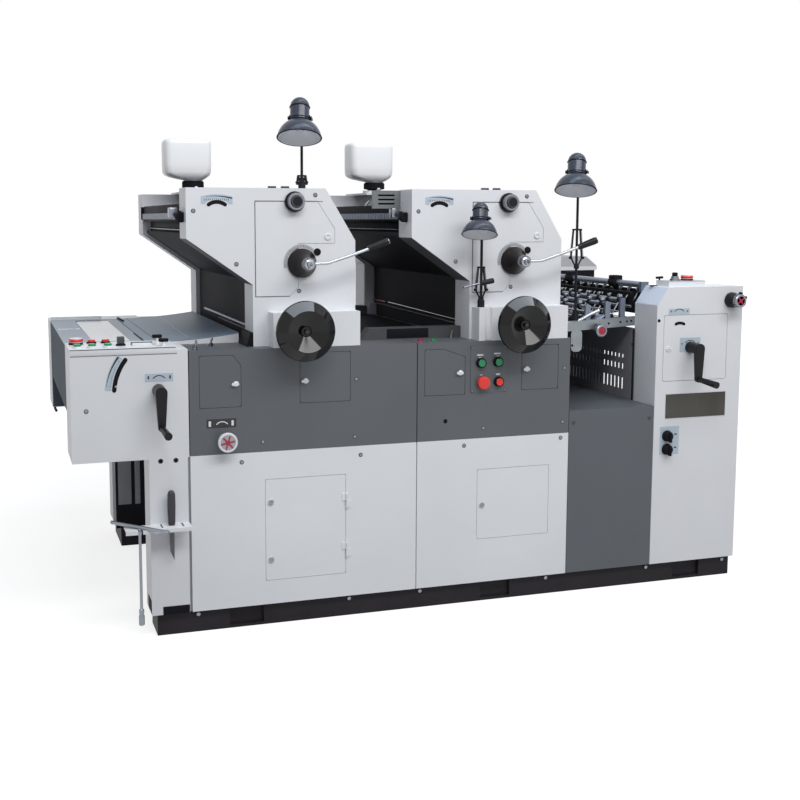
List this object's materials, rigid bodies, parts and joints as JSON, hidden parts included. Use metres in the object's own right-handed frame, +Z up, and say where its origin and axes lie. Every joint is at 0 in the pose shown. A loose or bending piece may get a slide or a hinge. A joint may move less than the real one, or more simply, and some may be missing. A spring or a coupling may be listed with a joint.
{
  "type": "offset printing press",
  "caption": "Two-unit sheet-fed offset printing press with delivery, dished handwheels, impression levers, hand cranks, swivelling lamps and feeder tower on a black base.",
  "frame": {"origin": "centre of the underside of the base, which rests on the floor", "axes": "+X along the machine from the delivery to the feeder, +Y away from the operator, +Z up"},
  "size_m": [2.354, 1.4587, 1.6879],
  "materials": {
    "white_paint": "semi-gloss",
    "band_grey": "satin",
    "cover_grey": "satin",
    "black_paint": "satin",
    "gloss_black": "gloss",
    "black_plastic": "matte",
    "chrome_metal": "polished",
    "steel_bright": "brushed",
    "roller_rubber": "matte",
    "bottle_plastic": "gloss",
    "window_clear": "gloss",
    "lamp_shade": "gloss"
  },
  "bodies": {
    "press": {"band_covers": "band_grey", "base_plinth": "black_paint", "bottle_seats": "black_plastic", "chute_sides": "white_paint", "collar_knob": "black_plastic", "control_ledge": "cover_grey", "control_plate": "band_grey", "deck_rail": "cover_grey", "delivery_boxes": "white_paint", "delivery_chute": "cover_grey", "delivery_columns": "white_paint", "delivery_cover": "cover_grey", "delivery_guard": "black_paint", "delivery_window": "window_clear", "drive_casings": "band_grey", "duct_bracket": "cover_grey", "far_drive_cover": "white_paint", "feed_board": "steel_bright", "feed_rods": "chrome_metal", "feeder_towers": "white_paint", "gear_boxes": "white_paint", "hand_tools": "chrome_metal", "ink_fountains": "black_paint", "inker_rollers": "roller_rubber", "inner_guards": "black_paint", "lamp_clamps": "black_plastic", "low_cover_box": "band_grey", "lower_cabinets": "white_paint", "pile_board": "black_paint", "service_covers": "white_paint", "slotted_guard": "black_paint", "tool_shelf": "cover_grey", "top_switch_box": "white_paint", "tower_panel": "white_paint", "unit1_casings": "white_paint", "unit2_casings": "white_paint", "water_bottles": "bottle_plastic"},
    "wheel_1": {"handwheel_1": "gloss_black", "cross_shaft_1": "steel_bright"},
    "wheel_2": {"handwheel_2": "gloss_black", "cross_shaft_2": "steel_bright"},
    "impression_lever_1": {"impression_lever_1": "black_plastic"},
    "impression_lever_2": {"impression_lever_2": "black_plastic"},
    "register_knob_1": {"register_knob_1": "black_plastic"},
    "register_knob_2": {"register_knob_2": "black_plastic"},
    "delivery_crank": {"delivery_crank": "black_plastic"},
    "feeder_crank": {"feeder_crank": "black_plastic"},
    "selector_knob": {"selector_knob": "chrome_metal"},
    "lower_door_1": {"lower_door_1": "white_paint"},
    "lower_door_2": {"lower_door_2": "white_paint"},
    "band_door_1": {"band_door_1": "band_grey"},
    "band_door_2": {"band_door_2": "band_grey"},
    "lamp_arm_1": {"lamp_arm_1": "chrome_metal"},
    "lamp_arm_2": {"lamp_arm_2": "chrome_metal"},
    "lamp_arm_3": {"lamp_arm_3": "chrome_metal"},
    "lamp_head_1": {"lamp_head_1": "lamp_shade"},
    "lamp_head_2": {"lamp_head_2": "lamp_shade"},
    "lamp_head_3": {"lamp_head_3": "lamp_shade"}
  },
  "joints": [
    {"name": "handwheel_1_turn", "type": "hinge", "parent": "press", "child": "wheel_1", "pos_m": [-0.591, 0, 0.958], "axis": [0, -1, 0], "continuous": true},
    {"name": "impression_lever_1_throw", "type": "hinge", "parent": "press", "child": "impression_lever_1", "pos_m": [-0.563, -0.585, 1.163], "axis": [0, -1, 0], "range_deg": [-25, 50]},
    {"name": "register_knob_1_turn", "type": "hinge", "parent": "press", "child": "register_knob_1", "pos_m": [-0.586, -0.585, 1.358], "axis": [0, -1, 0], "continuous": true},
    {"name": "handwheel_2_turn", "type": "hinge", "parent": "press", "child": "wheel_2", "pos_m": [0.153, 0, 0.958], "axis": [0, -1, 0], "continuous": true},
    {"name": "impression_lever_2_throw", "type": "hinge", "parent": "press", "child": "impression_lever_2", "pos_m": [0.181, -0.585, 1.163], "axis": [0, -1, 0], "range_deg": [-25, 50]},
    {"name": "register_knob_2_turn", "type": "hinge", "parent": "press", "child": "register_knob_2", "pos_m": [0.158, -0.585, 1.358], "axis": [0, -1, 0], "continuous": true},
    {"name": "delivery_crank_turn", "type": "hinge", "parent": "press", "child": "delivery_crank", "pos_m": [-1.035, -0.65, 0.783], "axis": [0, -1, 0], "continuous": true},
    {"name": "feeder_crank_turn", "type": "hinge", "parent": "press", "child": "feeder_crank", "pos_m": [0.843, -0.65, 0.852], "axis": [0, -1, 0], "continuous": true},
    {"name": "selector_turn", "type": "hinge", "parent": "press", "child": "selector_knob", "pos_m": [-0.83, -0.65, 0.615], "axis": [0, -1, 0], "range_deg": [-135, 135]},
    {"name": "lower_door_1_swing", "type": "hinge", "parent": "press", "child": "lower_door_1", "pos_m": [-0.433, -0.6543, 0.315], "axis": [0, 0, 1], "range_deg": [0, 110]},
    {"name": "lower_door_2_swing", "type": "hinge", "parent": "press", "child": "lower_door_2", "pos_m": [0.295, -0.65, 0.343], "axis": [0, 0, 1], "range_deg": [0, 110]},
    {"name": "band_door_1_swing", "type": "hinge", "parent": "press", "child": "band_door_1", "pos_m": [-0.909, -0.65, 0.8], "axis": [0, 0, -1], "range_deg": [0, 80]},
    {"name": "band_door_2_swing", "type": "hinge", "parent": "press", "child": "band_door_2", "pos_m": [-0.163, -0.65, 0.8], "axis": [0, 0, -1], "range_deg": [0, 110]},
    {"name": "lamp_arm_1_swivel", "type": "hinge", "parent": "press", "child": "lamp_arm_1", "pos_m": [-0.532, -0.477, 1.424], "axis": [0, 0, 1], "range_deg": [-90, 90]},
    {"name": "lamp_head_1_tilt", "type": "hinge", "parent": "lamp_arm_1", "child": "lamp_head_1", "pos_m": [-0.56065, -0.56021, 1.62167], "axis": [-0.9455, 0.3256, 0], "range_deg": [0, 30]},
    {"name": "lamp_arm_2_swivel", "type": "hinge", "parent": "press", "child": "lamp_arm_2", "pos_m": [0.049, -0.616, 1.034], "axis": [0, 0, 1], "range_deg": [-35, 35]},
    {"name": "lamp_head_2_tilt", "type": "hinge", "parent": "lamp_arm_2", "child": "lamp_head_2", "pos_m": [0.01415, -0.67887, 1.30483], "axis": [-0.8746, 0.4848, 0], "range_deg": [0, 30]},
    {"name": "lamp_arm_3_swivel", "type": "hinge", "parent": "press", "child": "lamp_arm_3", "pos_m": [0.466, -0.502, 0.968], "axis": [0, 0, 1], "range_deg": [-90, 90]},
    {"name": "lamp_head_3_tilt", "type": "hinge", "parent": "lamp_arm_3", "child": "lamp_head_3", "pos_m": [0.41807, -0.5758, 1.46367], "axis": [-0.8387, 0.5446, 0], "range_deg": [0, 30]}
  ],
  "couplings": [
    {"joint": "handwheel_2_turn", "follows": "handwheel_1_turn", "ratio": 1}
  ]
}
